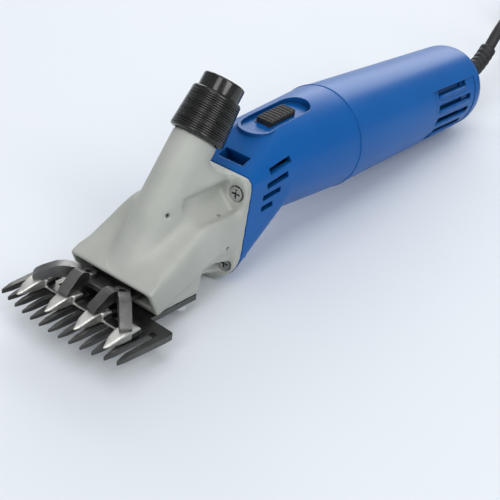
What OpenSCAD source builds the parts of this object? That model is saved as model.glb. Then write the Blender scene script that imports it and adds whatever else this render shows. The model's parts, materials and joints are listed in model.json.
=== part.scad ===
// Electric sheep shearing machine: motor handle, cast head, comb and cutter, with its mains lead.
// Built along the handle (x forward, z up, origin on the motor axis at the housing seam) and then
// stood on the floor on its belly and its rounded rear end.

/* [Output] */

/* [Stance] */
// Rise of the handle axis towards the comb, degrees
stand_tilt = 5.6; // [4:0.1:8]

/* [Handle] */
// Radius of the grip at the seam
grip_r = 29; // [27:0.5:32]
// Length of the rear housing from the seam to its rounded end
grip_length = 164; // [158:1:170]
// Radius lost by the rear housing towards its end
grip_taper = 2.4; // [1.8:0.2:3]
// Rounding of the rear end
rear_round = 18; // [16:0.5:20]
// Wall of both housings
wall = 2.6; // [2:0.1:3]
// Radius of the front housing at its neck
neck_r = 25.5; // [24:0.5:27]
// Distance of the neck from the seam
neck_x = 57; // [54:1:60]

/* [Flange] */
// Distance of the flange joint from the seam
flange_x = 92; // [90:1:96]
// Half width of the flange
flange_half = 24.6; // [23.5:0.2:26]
// Height of the flange above the motor axis
flange_top = 9.5; // [8:0.5:11]
// Thickness of the flange of the head
flange_t = 5; // [4:0.5:6]

/* [Head] */
// Distance of the upper lip of the mouth from the seam
lip_x = 161; // [158:1:164]
// Half width of the head at the lip
lip_half = 25.7; // [25:0.1:27]
// Depth of the upper lip below the motor axis
lip_drop = 28.4; // [27:0.2:29]
// Depth of the comb seat below the motor axis
seat_drop = 42.5; // [42:0.1:43.5]

/* [Comb and cutter] */
// Number of comb teeth
comb_teeth = 13; // [11:2:13]
// Spacing of the comb teeth
comb_pitch = 6.1; // [5.8:0.05:6.3]
// Distance of the middle tip from the seam
comb_tip_x = 197; // [194:1:200]
// Setback of the outermost tips
comb_bow = 5.5; // [3:0.5:7]
// Thickness of the comb
comb_t = 3.2; // [2.8:0.1:3.6]
// Height of the cutter at its back
cutter_h = 5; // [4.4:0.1:5.4]
// Gap between comb and cutter
cutter_gap = 0.3; // [0.3:0.05:0.4]

/* [Lever and crank] */
// Distance of the centre post from the seam
post_x = 132; // [131:0.5:133]
// Radius of the centre post
post_r = 5; // [4.5:0.1:5.5]
// Radial clearance of turning fits
run_gap = 0.05; // [0.03:0.01:0.08]
// Throw of the crank pin
crank_throw = 2.5; // [2.2:0.1:2.6]
// Radius of the crank roller
roller_r = 4.5; // [4:0.1:4.8]
// Play of the roller in the lever slot
slot_play = 0.95; // [0.9:0.05:1.2]

/* [Gear] */
// Teeth of the pinion
pinion_teeth = 10; // [10:1:10]
// Teeth of the crank gear
gear_teeth = 34; // [33:1:34]
// Tooth module of the gear pair
gear_module = 1; // [1:0.01:1.02]

/* [Tension] */
// Lean of the tension tube to the rear, degrees
tube_lean = 34; // [32:0.5:36]
// Radius of the tension tube below the nut
tube_r = 11.2; // [10.8:0.1:11.6]
// Radius of the knurled nut at its foot
nut_r = 14; // [13.6:0.1:14.6]
// Radius of the knurled nut at its top
nut_top_r = 12.4; // [12.2:0.1:13]
// Height of the knurled nut
nut_h = 22; // [20:0.5:24]
// Radius of the glossy cap
cap_r = 10.6; // [10:0.1:11.4]
// Height of the glossy cap
cap_h = 7.5; // [6:0.5:9]
// Radius of the tension spindle
spindle_r = 6; // [5.6:0.1:6.4]

/* [Motor] */
// Radius of the armature core
armature_r = 14.5; // [13.5:0.1:15]
// Air gap between armature and stator
air_gap = 0.5; // [0.4:0.1:0.8]
// Radius of the motor shaft
shaft_r = 4; // [3.6:0.1:4.2]
// Outer radius of the ball bearings
bearing_r = 11; // [10.5:0.1:11.5]
// Width of the ball bearings
bearing_w = 7; // [6.6:0.1:7.4]
// Radius of the cooling fan
fan_r = 19; // [17:0.5:20]

/* [Switch] */
// Length of the slider
slider_l = 29; // [26:1:32]
// Width of the slider
slider_w = 13; // [11:0.5:14]
// Travel of the slider
slider_travel = 8; // [6:0.5:9]

/* [Lead] */
// Diameter of the mains cord
cord_d = 7.6; // [7:0.1:8]
// Length of the cord sleeve
sleeve_l = 50; // [46:1:54]
// Rise of the cord sleeve at its end, degrees
sleeve_rise = 50; // [44:1:54]

/* [Hidden] */
$fn = 64;

blue = [0.11, 0.35, 0.66];
cast = [0.72, 0.73, 0.70];
steel = [0.62, 0.62, 0.63];
dark = [0.10, 0.10, 0.10];
copper = [0.72, 0.42, 0.24];

// Floor: the plane that touches the rounded rear end at the chosen tilt
rear_r = grip_r - grip_taper;
round_x = grip_length - rear_round;
floor_d = round_x * sin(stand_tilt) + (rear_r - rear_round) * cos(stand_tilt) + rear_round;
belly_drop = (floor_d + flange_x * sin(stand_tilt)) / cos(stand_tilt);
comb_z = -seat_drop;
tip_z = comb_z - comb_t + 0.5;
span_front = comb_tip_x * cos(stand_tilt) - tip_z * sin(stand_tilt);
span_rear = round_x * cos(stand_tilt) + (rear_r - rear_round) * sin(stand_tilt) + rear_round;
mid_x = (span_front - span_rear) / 2;

crank_z = -gear_module * (pinion_teeth + gear_teeth) / 2;
gear_x = flange_x - 11;
gear_w = 8;
nose_r = shaft_r - 1.2;
spider_x = 28 - grip_length;
core_x = spider_x + 54;
top_slope = (flange_top + lip_drop) / (lip_x - flange_x - 3);
roof_t = 2.2;
cavity_floor = comb_z + 4;
cavity_x = flange_x + 15;
pin_x = cavity_x + 3.5;
lever_bottom = cavity_floor + 2;

// Tension line: from the cup on the lever up through the tube
cup_x = 146.5;
cup_z = -27;
nut_s = 65.5;
thread_s = nut_s + 15;
pin_s = 30;
cup_s = -3;
cup_r = 5;
ball_r = 3;

comb_half = (comb_teeth - 1) / 2 * comb_pitch + 2.4;
cutter_pitch = 3 * comb_pitch;
cutter_z = comb_z + cutter_gap;
claw_x = lip_x + 2;
claw_y = 10.8;
prong_x = comb_tip_x - 19;
lever_half = 15;
lever_t = 2.6;
hub_top = roof_z(post_x + 8.4) - roof_t - 1.6;

slope_a = atan((grip_r - neck_r + 1.5) / neck_x);
slider_x = 45;
slider_z = grip_r - slider_x * tan(slope_a);
pocket_d = 1.8;
vent_l = [18, 17.5, 14, 9];
vent_back = [15, 12, 10, 10];
slider_top = 1.6;

cord_r = cord_d / 2;
coil_loops = 10.6;
coil_layers = 4;
coil_step = cord_d + 0.7;
coil_out = 54;
coil_in = coil_out - coil_step * coil_loops / coil_layers;
coil_lead = 36;
tie_t = 1.6;
coil_z = cord_r + tie_t + 0.4;
sleeve_root = 12;
bend_r = (sleeve_l - sleeve_root) / sleeve_rise * 180 / PI;
sleeve_end = stood(sleeve_at(sleeve_rise));
coil_c = [sleeve_end[0] - 159.6, 15];
tail_end = [coil_c[0] + 84, coil_c[1] + 39.5, 18.1];

// Middle and direction of the sleeve at a distance behind the rear end, and where it has risen by an angle
function sleeve_turn(s) = max(0, s - sleeve_root) / bend_r * 180 / PI;
function sleeve_mid(s) = sleeve_at(sleeve_turn(s)) + [max(0, sleeve_root - s), 0, 0];
function sleeve_way(s) = [-cos(sleeve_turn(s)), 0, sin(sleeve_turn(s))];
function sleeve_at(a) = [-grip_length - sleeve_root - bend_r * sin(a), 0, bend_r * (1 - cos(a))];
function unit(v) = v / norm(v);
// A point of the handle frame in the standing frame
function stood(p) = [p[0] * cos(stand_tilt) - p[2] * sin(stand_tilt) - mid_x, p[1],
    p[0] * sin(stand_tilt) + p[2] * cos(stand_tilt) + floor_d];
function smooth(t) = let (c = min(1, max(0, t))) c * c * (3 - 2 * c);
// Inner radius of the rear housing at a distance behind the seam
function inner_r(back) = grip_r - grip_taper * back / round_x - wall;
function roof_z(x) = flange_top - top_slope * (x - flange_x - 3);
function ring(p, t, r, n) = let (a = unit(cross(t, [0, 0, 1])), b = cross(a, t))
    [for (i = [0 : n - 1]) p + r * (cos(360 * i / n) * a + sin(360 * i / n) * b)];
// Smooth curve through hand-chosen points
function curve(p, k) = [for (i = [1 : len(p) - 3]) for (j = [0 : k - 1]) let (t = j / k)
    0.5 * (2 * p[i] + (p[i + 1] - p[i - 1]) * t
        + (2 * p[i - 1] - 5 * p[i] + 4 * p[i + 1] - p[i + 2]) * t * t
        + (3 * p[i] - p[i - 1] - 3 * p[i + 1] + p[i + 2]) * t * t * t)];
function path_length(p) = len(p) < 2 ? 0 : sum([for (i = [1 : len(p) - 1]) norm(p[i] - p[i - 1])]);
function sum(v, i = 0) = i >= len(v) ? 0 : v[i] + sum(v, i + 1);

module stand() {
    translate([-mid_x, 0, floor_d]) rotate([0, -stand_tilt, 0]) children();
}

// Drawing (y, z), extruding forward
module across(x) {
    translate([x, 0, 0]) rotate([90, 0, 90]) children();
}

// Drawing (x, z), extruding both ways in y
module side(width) {
    rotate([90, 0, 0]) linear_extrude(width, center = true) children();
}

// Round bar along the handle
module bar(x, length, r, z = 0) {
    across(x) translate([0, z, 0]) cylinder(r = r, h = length);
}

// Frame of the tension tube: origin at the cup, z up the tube
module tube_frame() {
    translate([cup_x, 0, cup_z]) rotate([0, -tube_lean, 0]) children();
}

module rounded(w, h, r) {
    square([w, h - 2 * r], center = true);
    square([w - 2 * r, h], center = true);
    for (x = [-1, 1], y = [-1, 1]) translate([x * (w / 2 - r), y * (h / 2 - r)]) circle(r);
}

// Flange outline: small corners above, wide rounding below
module flange_outline(inset = 0) {
    low_r = 18;
    high_r = 5;
    half = flange_half - inset;
    top = flange_top - inset;
    bottom = -belly_drop - 0.4 + inset;
    translate([-half, bottom + low_r]) square([2 * half, top - high_r - bottom - low_r]);
    translate([-half + high_r, bottom + low_r]) square([2 * (half - high_r), top - bottom - low_r]);
    translate([-half + low_r, bottom]) square([2 * (half - low_r), top - high_r - bottom]);
    for (s = [-1, 1]) {
        translate([s * (half - high_r), top - high_r]) circle(high_r);
        translate([s * (half - low_r), bottom + low_r]) circle(low_r);
    }
}

// Room above the floor, trims the belly to a flat land
module above_floor() {
    rotate([0, stand_tilt, 0]) translate([-300, -100, -floor_d]) cube([700, 200, 300]);
}

// Outer or inner form of the front housing
module front_form(inset, start, end) {
    hull() {
        across(start) cylinder(r = grip_r - inset, h = 0.1, $fn = 72);
        across(neck_x) translate([0, -1.5, 0]) cylinder(r = neck_r - inset, h = 0.1, $fn = 72);
    }
    hull() {
        across(neck_x) translate([0, -1.5, 0]) cylinder(r = neck_r - inset, h = 0.1, $fn = 72);
        across(end - 0.1) linear_extrude(0.1) flange_outline(inset, $fn = 48);
    }
}

module slider_frame() {
    translate([slider_x, 0, slider_z]) rotate([0, slope_a, 0]) children();
}

module front_housing() {
    color(blue) difference() {
        intersection() {
            front_form(0, 0.15, flange_x);
            above_floor();
        }
        front_form(wall, -1, flange_x + 0.5);
        // Recess of the switch and the slit for its stem
        slider_frame() translate([0, 0, -pocket_d]) linear_extrude(12)
            rounded(slider_l + 2 * slider_travel + 3, slider_w + 4.4, slider_w / 2 + 2);
        slider_frame() translate([slider_travel / 2, 0, 0])
            cube([slider_travel + 11, 5, 14], center = true);
        // Air slots near the flange, shorter towards the belly
        for (s = [-1, 1], k = [0 : 3])
            translate([flange_x - vent_back[k] - vent_l[k] / 2, s * 24, 10 - 6.3 * k])
                rotate([0, 7, 0]) cube([vent_l[k], 14, 3], center = true);
        // Window above the flange
        translate([flange_x - 7.5, 0, 12.6]) rotate([0, 22.5, 0]) cube([6.4, 27, 14], center = true);
        // Screw holes into the flange bosses
        flange_screw_places() cylinder(r = 2.2, h = 30, center = true, $fn = 24);
    }
    color(blue) intersection() {
        front_form(wall - 0.4, 0.5, flange_x);
        flange_screw_places() translate([0, 0, -14]) difference() {
            cylinder(r = 4.4, h = 10.5);
            translate([0, 0, -1]) cylinder(r = 1.95, h = 13, $fn = 24);
        }
    }
}

// Rear housing: tapered grip with a rounded end
module grip_profile(r_front, r_rear, length, round_r) {
    polygon(concat([[0, 0], [r_front, 0], [r_rear, length - round_r]],
        [for (a = [5 : 5 : 90]) [r_rear - round_r + round_r * cos(a), length - round_r + round_r * sin(a)]],
        [[0, length]]));
}

module rear_housing() {
    slot_start = 94;
    color(blue) difference() {
        union() {
            rotate([0, -90, 0]) rotate_extrude($fn = 96)
                grip_profile(grip_r, rear_r, grip_length, rear_round);
        }
        rotate([0, -90, 0]) translate([0, 0, -0.1]) rotate_extrude($fn = 96)
            grip_profile(grip_r - wall, rear_r - wall, grip_length - wall, rear_round - wall);
        // Sunk panels with four long air slots on each side
        for (s = [0, 180]) rotate([s, 0, 0]) {
            rotate([0, -90, 0]) translate([0, 0, slot_start - 6]) rotate([0, 0, 55])
                rotate_extrude(angle = 70, $fn = 96) translate([rear_r - 0.3, 0]) square([5, 55]);
            for (k = [0 : 3])
                translate([-slot_start - 34 / 2 - 3 * min(k, 1) - 2, 20, 13.5 - 8.4 * k])
                    cube([36 + 6 * sin(60 * k), 24, 3.2], center = true);
        }
        // Lead hole
        bar(-grip_length - 2, 12, 6.05);
    }
    // Spigot that centres the front housing
    color(blue) difference() {
        union() {
            bar(-6, 6.1, grip_r - wall + 0.3);
            bar(0, 6, grip_r - wall - 0.9);
        }
        bar(-7, 14, grip_r - 2 * wall - 0.6);
    }
    // Spider that holds the rear bearing
    color(blue) difference() {
        bar(spider_x, bearing_w + 2, inner_r(-spider_x - 4) + 0.3);
        bar(spider_x + 2, bearing_w + 1, bearing_r + 0.02);
        bar(spider_x - 4, 20, shaft_r + 1.5);
        for (a = [45 : 90 : 315])
            rotate([a, 0, 0]) translate([spider_x + 4, 0, 18]) cube([20, 13, 6], center = true);
    }
}

module flange_screw_places() {
    for (s = [-1, 1], p = [[flange_half - 6.1, 1], [flange_half - 6.6, -38]])
        translate([flange_x, s * p[0], p[1]]) rotate([0, 90, 0]) children();
}

module flange_screws() {
    color(steel) flange_screw_places() difference() {
        union() {
            translate([0, 0, flange_t - 2.6]) cylinder(r = 3.6, h = 2.4);
            translate([0, 0, -9]) cylinder(r = 1.9, h = flange_t + 7);
        }
        translate([0, 0, flange_t - 1.4]) cube([5, 1, 3], center = true);
        translate([0, 0, flange_t - 1.4]) cube([1, 5, 3], center = true);
    }
}

// Cast head: wedge with the mouth in front, round gear case behind, tension tube on top
module head_casting() {
    color(cast) difference() {
        union() {
            intersection() {
                across(flange_x) linear_extrude(flange_t) flange_outline();
                above_floor();
            }
            intersection() {
                side(90) polygon([[flange_x + 1, roof_z(flange_x + 3)], [flange_x + 3, roof_z(flange_x + 3)],
                    [lip_x, -lip_drop], [lip_x - 7.5, comb_z], [flange_x + 22, -27], [flange_x + 1, -27]]);
                translate([0, 0, -80]) linear_extrude(120) polygon([[flange_x, -flange_half + 0.6],
                    [lip_x, -lip_half], [lip_x, lip_half], [flange_x, flange_half - 0.6]]);
                // Upper edges broken on both sides
                across(flange_x) linear_extrude(80)
                    polygon([[-30, -60], [30, -60], [30, -22], [14, 12], [-14, 12], [-30, -22]]);
            }
            // Gear case
            intersection() {
                across(flange_x + 1) translate([0, -26, 0]) cylinder(r1 = 24.5, r2 = 17, h = 34);
                above_floor();
            }
            // Comb seat
            translate([flange_x + 30, -24.4, comb_z]) cube([lip_x - 7.6 - flange_x - 30, 48.8, 14]);
            // Tension tube, running out into the roof just behind the lip
            intersection() {
                tube_frame() translate([0, 0, -14]) cylinder(r = tube_r, h = nut_s + 13.6);
                side(60) polygon([[60, 90], [60, -34], [lip_x - 1, -34], [lip_x - 1, 90]]);
            }
            // Flat cheeks from the tube back to the flange
            hull() {
                tube_frame() translate([0, 0, 14]) cylinder(r = tube_r - 0.2, h = 42, $fn = 40);
                across(flange_x + 2) linear_extrude(2) polygon([[-19, -26], [19, -26], [20.5, -2],
                    [15, flange_top - 2], [-15, flange_top - 2], [-20.5, -2]]);
            }
            tube_frame() translate([0, 0, 47]) cylinder(r = tube_r - 1.8, h = thread_s - 47);
        }
        // Hollow for the lever, open at the mouth
        intersection() {
            side(80) polygon([[cavity_x, -9.5], [cavity_x + 14, -9.5],
                [lip_x + 5, roof_z(lip_x + 5) - roof_t],
                [lip_x + 5, cavity_floor], [cavity_x, cavity_floor]]);
            translate([0, 0, -60]) linear_extrude(80)
                polygon([[cavity_x, -13], [124, -13], [140, -lip_half + 3.2], [175, -lip_half + 3],
                    [175, lip_half - 3], [140, lip_half - 3.2], [124, 13], [cavity_x, 13]]);
        }
        tube_frame() translate([0, 0, -2]) cylinder(r = spindle_r + run_gap, h = thread_s + 6);
        // Room for the cup to swing under the tube
        tube_frame() translate([0, 0, -9]) cylinder(r = cup_r + 3, h = 10);
        // Crank bore and bearing seat
        bar(flange_x - 2, 20, shaft_r + 3, crank_z);
        bar(flange_x - 1, 2 * bearing_w + 1.3, bearing_r, crank_z);
        // Holes for the centre post, comb screws and flange screws
        translate([post_x, 0, comb_z - 1]) cylinder(r = post_r, h = 8);
        comb_screw_places() translate([0, 0, -1]) cylinder(r = 1.95, h = 10, $fn = 24);
        flange_screw_places() {
            translate([0, 0, -1]) cylinder(r = 2, h = 20, $fn = 24);
            translate([0, 0, flange_t - 2.7]) cylinder(r = 4.2, h = 14);
        }
        // Diamond pads round the upper screws
        for (s = [-1, 1]) across(flange_x + flange_t) translate([s * (flange_half - 6.1), 1, 0])
            linear_extrude(30) rotate(45) rounded(15, 15, 2);
        // Small blind holes on the near side
        tube_frame() rotate([0, 0, 65]) translate([tube_r - 2.4, 0, 26.5]) rotate([0, 90, 0])
            cylinder(r = 1.3, h = 6, $fn = 24);
        translate([flange_x + 12.5, 7, 4.4]) rotate([-90, 0, 0]) cylinder(r = 1.2, h = 12, $fn = 24);
        translate([flange_x + 2.4, 18.6, -28]) rotate([0, 90, 0]) cylinder(r = 1.2, h = 6, $fn = 24);
    }
}

module comb_screw_places() {
    for (s = [-1, 1]) translate([post_x - 1, s * 19, comb_z]) children();
}

module comb_screws() {
    color(steel) comb_screw_places() difference() {
        union() {
            translate([0, 0, -comb_t - 3.2]) cylinder(r = 4.6, h = 3.2);
            translate([0, 0, -comb_t - 0.1]) cylinder(r = 1.85, h = comb_t + 8);
        }
        translate([0, 0, -comb_t - 3.2]) cube([12, 1.2, 2.4], center = true);
    }
}

// Comb: flat plate with long tapered teeth, open screw slots behind, thinned and dropped at the tips
module comb() {
    root_x = comb_tip_x - 34;
    shoulder = lip_x - 3.5;
    rear_x = post_x - 8;
    color(steel) difference() {
        intersection() {
            translate([0, 0, comb_z - comb_t - 1]) linear_extrude(comb_t + 2) {
                polygon([[rear_x, -24], [shoulder - 0.6, -24], [shoulder, -comb_half + 1],
                    [shoulder + 1, -comb_half], [root_x + 1, -comb_half],
                    [root_x + 1, comb_half], [shoulder + 1, comb_half],
                    [shoulder, comb_half - 1], [shoulder - 0.6, 24], [rear_x, 24]]);
                // Slender teeth, the outermost ones straight on the outside
                for (i = [0 : comb_teeth - 1])
                    let (k = i - (comb_teeth - 1) / 2, y = k * comb_pitch,
                        tip = comb_tip_x - comb_bow * pow(2 * k / (comb_teeth - 1), 2),
                        far = i == 0 ? comb_half + y : 1.6, near = i == comb_teeth - 1 ? comb_half - y : 1.6)
                    polygon([[root_x, y - far], [tip - 5, y - 1.15], [tip, y - 0.35], [tip, y + 0.35],
                        [tip - 5, y + 1.15], [root_x, y + near]]);
            }
            side(120) polygon([[rear_x - 4, comb_z], [comb_tip_x - 12, comb_z],
                [comb_tip_x, comb_z - 1.7], [comb_tip_x + 1, tip_z], [comb_tip_x - 2, tip_z - 0.2],
                [root_x + 6, comb_z - comb_t], [rear_x - 4, comb_z - comb_t]]);
        }
        comb_screw_places() translate([0, 0, -comb_t - 1]) {
            cylinder(r = 2, h = comb_t + 2, $fn = 24);
            translate([-20, -2, 0]) cube([20, 4, comb_t + 2]);
        }
        // Row of small dimples under the roots of the teeth
        for (i = [1 : comb_teeth - 1])
            translate([root_x - 2.4, (i - comb_teeth / 2) * comb_pitch, comb_z - comb_t - 1])
                cylinder(r = 1.3, h = 1.8, $fn = 20);
        // Room for the centre post
        translate([post_x, 0, comb_z - comb_t - 1]) {
            cylinder(r = post_r + 1, h = comb_t + 2);
            translate([-20, -post_r - 1, 0]) cube([20, 2 * post_r + 2, comb_t + 2]);
        }
    }
}

// Four-point cutter: arched points on a thin bar
module cutter() {
    back = prong_x - 7;
    tip = comb_tip_x - 5.5;
    color(steel) difference() {
        intersection() {
            translate([0, 0, cutter_z]) linear_extrude(cutter_h + 1) {
                for (k = [-1.5 : 1 : 1.5]) let (y = k * cutter_pitch)
                    polygon([[back, y - 3.5], [back + 10, y - 3.3], [back + 14.5, y - 2.6],
                        [tip - 1.6, y - 1], [tip, y], [tip - 1.6, y + 1],
                        [back + 14.5, y + 2.6], [back + 10, y + 3.3], [back, y + 3.5]]);
                translate([back, -1.5 * cutter_pitch]) square([6, 3 * cutter_pitch]);
            }
            union() {
                side(120) polygon([[back - 1, cutter_z], [back + 6, cutter_z],
                    [back + 6, cutter_z + 1.3], [back - 1, cutter_z + 1.3]]);
                for (k = [-1.5 : 1 : 1.5]) translate([0, k * cutter_pitch, 0]) side(9)
                    polygon([[back - 1, cutter_z], [tip + 1, cutter_z], [tip + 1, cutter_z + 0.5],
                        [tip - 2.5, cutter_z + 1.5], [back + 15, cutter_z + cutter_h - 1.7],
                        [back + 12, cutter_z + cutter_h - 0.7], [back + 9.5, cutter_z + cutter_h - 0.1],
                        [back + 8.5, cutter_z + cutter_h], [back + 2, cutter_z + cutter_h],
                        [back - 1, cutter_z + cutter_h - 1]]);
            }
        }
        for (k = [-1.5 : 1 : 1.5]) translate([prong_x, k * cutter_pitch, cutter_z + cutter_h - 1])
            cylinder(r = 1.6, h = 3, $fn = 24);
    }
}

// Claw: hub on the lever and two prongs that press on the cutter points
module claw(s) {
    prong_top = cutter_z + cutter_h;
    hub = [claw_x, s * claw_y];
    base = lever_bottom + lever_t + 0.02;
    color(steel * 0.75) {
        difference() {
            translate([hub[0], hub[1], base]) cylinder(r = 4, h = 2.4);
            translate([hub[0], hub[1], base - 1]) cylinder(r = 1.6, h = 20, $fn = 24);
        }
        for (k = [0, 1]) {
            end = [prong_x, s * (0.5 + k) * cutter_pitch];
            length = norm(end - hub);
            turn = atan2(end[1] - hub[1], end[0] - hub[0]);
            difference() {
                translate([hub[0], hub[1], 0]) rotate([0, 0, turn]) side(5.6)
                    polygon([[2, base], [6, base], [length - 5.4, prong_top + 1.9],
                        [length - 2.4, prong_top + 0.02], [length + 2.4, prong_top + 0.02],
                        [length + 2.8, prong_top + 1.6], [length + 1.6, prong_top + 3.4],
                        [length - 1.2, prong_top + 5.2], [length * 0.66, base + 5],
                        [length * 0.48, base + 5.6], [6, base + 5.2], [3.2, base + 3.8], [2, base + 2]]);
                translate([hub[0], hub[1], base - 1]) cylinder(r = 1.6, h = 20, $fn = 24);
            }
            translate([end[0], end[1], prong_top - 0.9]) cylinder(r = 1.5, h = 1.2, $fn = 24);
        }
    }
}

module left_claw() {
    claw(1);
}

module right_claw() {
    claw(-1);
}

// Lever: slotted tail round the crank roller, hub on the post, broad front arm under the claws
module oscillating_lever() {
    slot_half = roller_r + slot_play;
    tail = slot_half + 3;
    color(steel * 0.6) difference() {
        union() {
            intersection() {
                side(60) polygon([[pin_x + 1.6, -13], [pin_x + 11, -13],
                    [post_x - 7, hub_top], [post_x + 6, hub_top],
                    [post_x + 9, cup_z - 2.5], [cup_x + 4, cup_z - 3.5],
                    [lip_x - 5, lever_bottom + lever_t], [lip_x + 6, lever_bottom + lever_t],
                    [lip_x + 6, lever_bottom], [post_x - 9, lever_bottom],
                    [post_x - 10, -30.5], [pin_x + 1.6, -30.5]]);
                translate([0, 0, -60]) linear_extrude(80) polygon([[pin_x, -tail], [post_x - 4, -tail],
                    [post_x + 4, -8.4], [cup_x - 6, -8.4], [lip_x - 9, -lever_half], [lip_x + 6, -lever_half],
                    [lip_x + 6, lever_half], [lip_x - 9, lever_half], [cup_x - 6, 8.4], [post_x + 4, 8.4],
                    [post_x - 4, tail], [pin_x, tail]]);
            }
            translate([post_x, 0, lever_bottom]) cylinder(r = 8.4, h = hub_top - lever_bottom);
        }
        translate([pin_x - 1, -slot_half, -60]) cube([post_x - 10 - pin_x, 2 * slot_half, 80]);
        translate([post_x, 0, -60]) cylinder(r = post_r - 0.6 + run_gap, h = 80);
        tube_frame() translate([0, 0, cup_s - 5]) cylinder(r = cup_r + 0.02, h = 20);
        for (s = [-1, 1]) translate([claw_x, s * claw_y, -60]) cylinder(r = 1.6, h = 60, $fn = 24);
    }
}

module pressure_cup() {
    color(steel) tube_frame() difference() {
        translate([0, 0, cup_s - 5]) cylinder(r = cup_r, h = 5);
        translate([0, 0, cup_s - 2.4]) cylinder(r = ball_r + 0.8, h = 10);
    }
}

module centre_post() {
    color(steel) translate([post_x, 0, 0]) {
        translate([0, 0, comb_z]) cylinder(r = post_r, h = 5.6);
        translate([0, 0, comb_z + 5.5]) cylinder(r = post_r - 0.6, h = hub_top + 2 - comb_z - 5.5);
    }
}

module bearing(x, z) {
    across(x) translate([0, z, 0]) difference() {
        cylinder(r = bearing_r - 0.01, h = bearing_w);
        translate([0, 0, -1]) cylinder(r = shaft_r + 0.01, h = bearing_w + 2);
        for (e = [-0.1, bearing_w - 0.5]) translate([0, 0, e]) difference() {
            cylinder(r = bearing_r - 2, h = 0.6);
            translate([0, 0, -1]) cylinder(r = shaft_r + 2, h = 3);
        }
    }
}

module crank_bearings() {
    color(steel) {
        bearing(flange_x - 0.5, crank_z);
        bearing(flange_x - 0.2 + bearing_w, crank_z);
    }
}

module motor_bearings() {
    color(steel) {
        bearing(neck_x - 7.5, 0);
        bearing(spider_x + 2.1, 0);
    }
}

// Plate between motor and gear, carries the front motor bearing
module bearing_plate() {
    color(cast) difference() {
        bar(neck_x - 9, 8.5, neck_r - wall - 1.8);
        bar(neck_x - 7.6, 12, bearing_r);
        bar(neck_x - 15, 30, shaft_r + 2);
        for (a = [0 : 60 : 300])
            rotate([a, 0, 0]) translate([neck_x - 5, 0, 15.8]) cube([30, 8, 4.6], center = true);
        // Notch under the stem of the switch
        translate([neck_x - 5, 0, 23]) cube([30, 7, 7], center = true);
    }
}

module stator_core() {
    color(steel * 0.8) across(core_x) linear_extrude(50) difference() {
        circle(inner_r(-core_x) - 0.1);
        circle(armature_r + air_gap);
        for (s = [-1, 1]) translate([0, s * 17]) square([22, 5.6], center = true);
    }
}

// Two field coils in the slots of the core
module field_coils() {
    color(copper) for (s = [-1, 1]) translate([core_x + 25, 0, s * 17]) difference() {
        cube([62, 20.4, 4.8], center = true);
        cube([50.6, 11, 8], center = true);
    }
}

module brush_holders() {
    color([0.75, 0.62, 0.3]) for (s = [-1, 1]) translate([spider_x + 20, s * 16.3, 0]) difference() {
        cube([9, 10.5, 9], center = true);
        cube([6.2, 12, 6.2], center = true);
    }
}

module carbon_brushes() {
    color(dark) for (s = [-1, 1]) translate([spider_x + 20, s * 15.4, 0]) cube([6, 11.4, 6], center = true);
}

module switch_body() {
    color(dark) translate([slider_x - 7, 0, 15]) cube([18, 13, 8], center = true);
}

// Ridged slider that runs in the recess on top of the front housing
module switch_slider() {
    color(dark) slider_frame() {
        difference() {
            translate([0, 0, -pocket_d + 0.3])
                linear_extrude(slider_top + pocket_d - 0.3) rounded(slider_l, slider_w, 1.5);
            for (k = [-3 : 4]) translate([(k - 0.5) * (slider_l - 4) / 7, 0, slider_top])
                rotate([0, 45, 0]) cube([1.7, slider_w + 2, 1.7], center = true);
        }
        translate([0, 0, -pocket_d - 0.6]) cube([9, 4.4, 2.6], center = true);
    }
}

module motor_shaft() {
    color(steel) {
        bar(spider_x - 6, gear_x + 5 - spider_x, shaft_r);
        bar(gear_x - 1.1, gear_w + 2, nose_r);
    }
}

module armature_core() {
    color(steel * 0.7) across(core_x) linear_extrude(50) difference() {
        circle(armature_r);
        circle(shaft_r + 0.02);
        for (a = [0 : 30 : 330]) rotate(a) {
            translate([armature_r - 3.6, 0]) circle(1.9, $fn = 24);
            translate([armature_r - 1.5, 0]) square([3.6, 1.4], center = true);
        }
    }
}

// End turns of the armature, one ring at each face of the core
module armature_winding() {
    color(copper) for (x = [core_x - 8.2, core_x + 50.2]) across(x) difference() {
        cylinder(r = armature_r - 1.6, h = 8);
        translate([0, 0, -1]) cylinder(r = shaft_r + 0.4, h = 12);
    }
}

module commutator() {
    color(copper) across(spider_x + 12) linear_extrude(16) difference() {
        circle(9.4);
        circle(shaft_r + 0.02);
        for (a = [0 : 15 : 345]) rotate(a) translate([9, 0]) square([1.6, 0.5], center = true);
    }
}

module cooling_fan() {
    color(dark) across(8) {
        difference() {
            cylinder(r = fan_r, h = 2);
            translate([0, 0, -1]) cylinder(r = shaft_r + 0.02, h = 6);
        }
        difference() {
            translate([0, 0, 1.9]) cylinder(r = 8, h = 9);
            translate([0, 0, -1]) cylinder(r = shaft_r + 0.02, h = 20);
        }
        for (a = [0 : 36 : 324]) rotate(a) translate([13, 0, 6.3]) cube([fan_r - 8.6, 1.4, 9], center = true);
    }
}

// Spur wheel outline with straight-flanked teeth and easy backlash
module wheel(teeth, bore_r) {
    r = gear_module * teeth / 2;
    difference() {
        union() {
            circle(r - 1.15 * gear_module);
            for (i = [0 : teeth - 1]) rotate(360 * i / teeth)
                polygon([[r - 2 * gear_module, -0.72], [r + 0.7 * gear_module, -0.24],
                    [r + 0.7 * gear_module, 0.24], [r - 2 * gear_module, 0.72]]);
        }
        circle(bore_r);
    }
}

module pinion() {
    color(steel) across(gear_x) linear_extrude(gear_w)
        rotate(90 + 180 / pinion_teeth) wheel(pinion_teeth, nose_r + 0.02);
}

module crank_gear() {
    color(steel) across(gear_x) translate([0, crank_z, 0]) linear_extrude(gear_w)
        rotate(90) wheel(gear_teeth, shaft_r + 0.02);
}

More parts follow.
